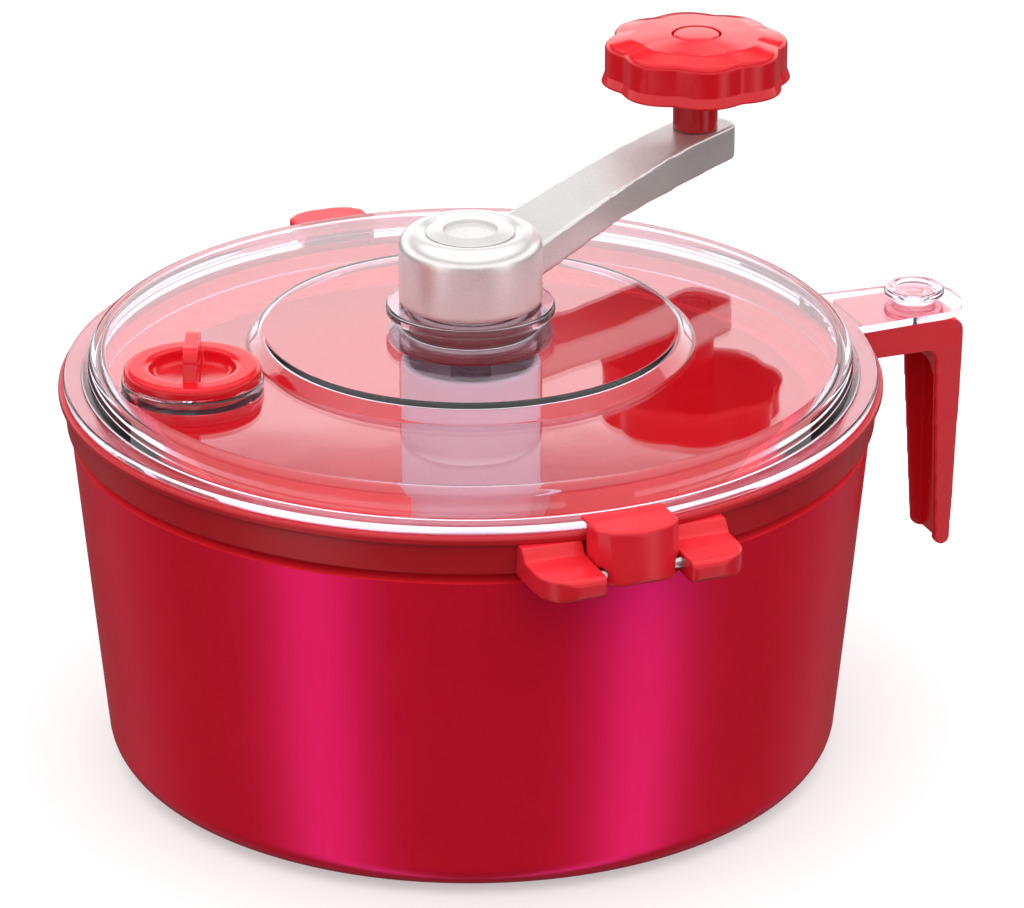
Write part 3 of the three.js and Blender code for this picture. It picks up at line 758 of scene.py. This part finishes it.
def build_pieces():
    lacquer = lacquered_metal()
    red = plastic("moulded_red", (0.43, 0.007, 0.014), (0.48, 0.009, 0.017), (0.28, 0.38))
    # A lighter copy of the collar's moulded red: painted light for the lit tops of the wings, clips and
    # handle
    bright = plastic("red_painted_lighter", (0.66, 0.013, 0.024), (0.72, 0.016, 0.028), (0.2, 0.28))
    gloss = plastic("gloss_red", (0.62, 0.006, 0.014), (0.68, 0.008, 0.017), (0.10, 0.16))
    clear = clear_plastic("clear_plastic", (0.93, 0.86, 0.96))
    silver = satin_silver()
    bush = plastic("bush_red", (0.16, 0.02, 0.02), (0.20, 0.03, 0.03), (0.3, 0.45))
    nylon = plastic("white_nylon", (0.78, 0.74, 0.72), (0.84, 0.80, 0.78), (0.35, 0.5))
    steel = machined_steel()

    paint_inside_lighter(dress(bowl_shell(), lacquer, "bowl", "bowl_red", "bowl"), lighter_inside_red())
    dress(collar_band(), red, "bowl", "moulded_red", "collar")
    for where, turn in (("rear", 0), ("front", math.pi)):
        for side in (-1, 1):
            name = f"{where}_wing_{'left' if side < 0 else 'right'}"
            dress(wing(name, side, turn), bright, "bowl", "moulded_red", "collar")
        clip = clasp(where + "_clasp", turn)
        dress(clip, bright, where + "_clip", "moulded_red", where + "_clip")
    dress(tongue(), red, "bowl", "moulded_red", "collar")
    dress(moulded(copied("handle", "handle_grip"), 0.4, 5), bright, "bowl", "moulded_red", "handle")
    dress(lid_dome(), clear, "lid", "clear_lid", "lid", crease=30)
    dress(thumb_stud(), clear, "lid", "clear_lid", "thumb_stud", crease=30)
    dress(lid_bush(), bush, "lid", "brown_bush", "lid_bush")
    dress(crank_lever(), silver, "crank", "satin_silver", "crank_arm")
    dress(hub_cap(), silver, "crank", "satin_silver", "hub_cap")
    dress(knob_grip(), gloss, "knob", "gloss_red", "knob", crease=45)
    dress(knob_cap(), gloss, "knob", "gloss_red", "knob_cap")
    dress(fill_cap(), gloss, "fill_cap", "gloss_red", "fill_cap")
    dress(kneader(), nylon, "blade", "white_nylon", "kneading_blade")

    kept = {
        steel: ("pivot_pin", "handle_screw_left", "handle_screw_right", "rear_clip_pin", "front_clip_pin",
                "hub_screw", "drive_shaft", "shaft_clip", "knob_axle", "axle_nut"),
        nylon: ("shaft_washer", "blade_socket", "foot_bush", "thrust_washer"),
        rubber(): ("base_pad", "fill_cap_seal"),
    }
    for material, nodes in kept.items():
        for node in nodes:
            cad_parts[node].material_slots[0].material = material


# ---- studio ----

def floor():
    bpy.ops.mesh.primitive_plane_add(size=12)
    made = bpy.context.object
    made.name = "floor"
    material, tree, principled = shader("floor")
    vary_colour(tree, principled, noise(tree, 2), (0.50, 0.50, 0.50), (0.52, 0.52, 0.52))
    principled.inputs["Emission Color"].default_value = (1, 1, 1, 1)
    principled.inputs["Emission Strength"].default_value = 0.42
    principled.inputs["Roughness"].default_value = 0.9
    principled.inputs["Specular IOR Level"].default_value = 0.1
    made.data.materials.append(material)
    made.visible_glossy = False
    made.visible_diffuse = False


def sums(tree, operation, first, second):
    """A Math node on two numbers or sockets."""
    node = tree.nodes.new("ShaderNodeMath")
    node.operation = operation
    for socket, value in zip(node.inputs, (first, second)):
        if isinstance(value, (int, float)):
            socket.default_value = value
        else:
            tree.links.new(value, socket)
    return node.outputs[0]


BRIGHTNESS = ((0.00, 1.6), (0.387, 1.8), (0.397, 0.12), (0.55, 0.2), (0.75, 1.5), (1.00, 1.4))
STRIPS = ((201, 1.6), (304, 1.6), (22, 0.15), (122, 0.15))  # direction in degrees from +X, and brightness
SKY_BELOW = 0.2
SKY_SIDE = 0.3  # added from the horizon up
SKY_RISE = 1.7  # added overhead
STRIP_BASE = 0.12
STRIP_SHARPNESS = 34


def open_sky(tree, height):
    """What lights matt surfaces: strong from above, weaker from the side, faint from below."""
    above = sums(tree, "MULTIPLY", sums(tree, "GREATER_THAN", height, 0), SKY_SIDE)
    upward = sums(tree, "MULTIPLY", sums(tree, "MAXIMUM", height, 0), SKY_RISE)
    return sums(tree, "ADD", SKY_BELOW, sums(tree, "ADD", above, upward))


def soft_boxes(tree, split):
    """What glossy surfaces see: a bright wall, a dark gap, a bright ceiling, and strips near the floor."""
    ramp = tree.nodes.new("ShaderNodeValToRGB")
    elements = ramp.color_ramp.elements
    while len(elements) < len(BRIGHTNESS):
        elements.new(0.5)
    peak = max(value for _, value in BRIGHTNESS)
    for element, (position, value) in zip(elements, BRIGHTNESS):
        element.position = position
        element.color = (value / peak, value / peak, value / peak, 1)
    tree.links.new(split.outputs["Z"], ramp.inputs["Fac"])
    upper = sums(tree, "MULTIPLY", ramp.outputs["Color"], peak)
    bearing = sums(tree, "ARCTAN2", split.outputs["Y"], split.outputs["X"])
    lower = STRIP_BASE
    for degrees, brightness in STRIPS:
        facing = sums(tree, "COSINE", sums(tree, "SUBTRACT", bearing, math.radians(degrees)), 0)
        strip = sums(tree, "POWER", sums(tree, "MAXIMUM", facing, 0), STRIP_SHARPNESS)
        lower = sums(tree, "ADD", lower, sums(tree, "MULTIPLY", strip, brightness))
    above = sums(tree, "GREATER_THAN", split.outputs["Z"], 0)
    below = sums(tree, "SUBTRACT", 1, above)
    return sums(tree, "ADD", sums(tree, "MULTIPLY", upper, above), sums(tree, "MULTIPLY", lower, below))


def studio():
    """An even white studio."""
    world = bpy.data.worlds.new("studio")
    bpy.context.scene.world = world
    world.use_nodes = True
    world.cycles.sampling_method = "NONE"
    tree = world.node_tree
    rays = tree.nodes.new("ShaderNodeLightPath")
    coordinates = tree.nodes.new("ShaderNodeTexCoord")
    split = tree.nodes.new("ShaderNodeSeparateXYZ")
    tree.links.new(coordinates.outputs["Generated"], split.inputs[0])
    height = split.outputs["Z"]
    matt = rays.outputs["Is Diffuse Ray"]
    through = rays.outputs["Is Transmission Ray"]
    glossy = sums(tree, "MULTIPLY", rays.outputs["Is Glossy Ray"], sums(tree, "SUBTRACT", 1, through))
    plain = sums(tree, "ADD", 1, sums(tree, "MULTIPLY", through, 0.6))
    plain = sums(tree, "MULTIPLY", plain, sums(tree, "SUBTRACT", 1, matt))
    plain = sums(tree, "ADD", plain, sums(tree, "MULTIPLY", matt, open_sky(tree, height)))
    rest = sums(tree, "MULTIPLY", plain, sums(tree, "SUBTRACT", 1, glossy))
    strength = sums(tree, "ADD", rest, sums(tree, "MULTIPLY", soft_boxes(tree, split), glossy))
    tree.links.new(strength, tree.nodes["Background"].inputs["Strength"])
    tree.nodes["Background"].inputs["Color"].default_value = (1, 1, 1, 1)


def camera():
    sin_a, cos_a = math.sin(VIEW_AZIMUTH), math.cos(VIEW_AZIMUTH)
    sin_e, cos_e = math.sin(VIEW_ELEVATION), math.cos(VIEW_ELEVATION)
    right = Vector((cos_a, sin_a, 0))
    back = Vector((sin_a * cos_e, -cos_a * cos_e, sin_e))
    up = back.cross(right)
    data = bpy.data.cameras.new("camera")
    data.sensor_width = SENSOR
    data.lens = SENSOR * VIEW_DISTANCE / VIEW_WIDTH
    made = bpy.data.objects.new("camera", data)
    made.rotation_euler = Matrix((right, up, back)).transposed().to_euler()
    made.location = right * AIM[0] + up * AIM[1] + back * VIEW_DISTANCE
    bpy.context.scene.collection.objects.link(made)
    bpy.context.scene.camera = made


def quality():
    scene = bpy.context.scene
    scene.view_settings.view_transform = "Standard"
    scene.cycles.use_denoising = True
    scene.cycles.caustics_reflective = False
    scene.cycles.sample_clamp_indirect = 4


build_pieces()
floor()
studio()
camera()
quality()
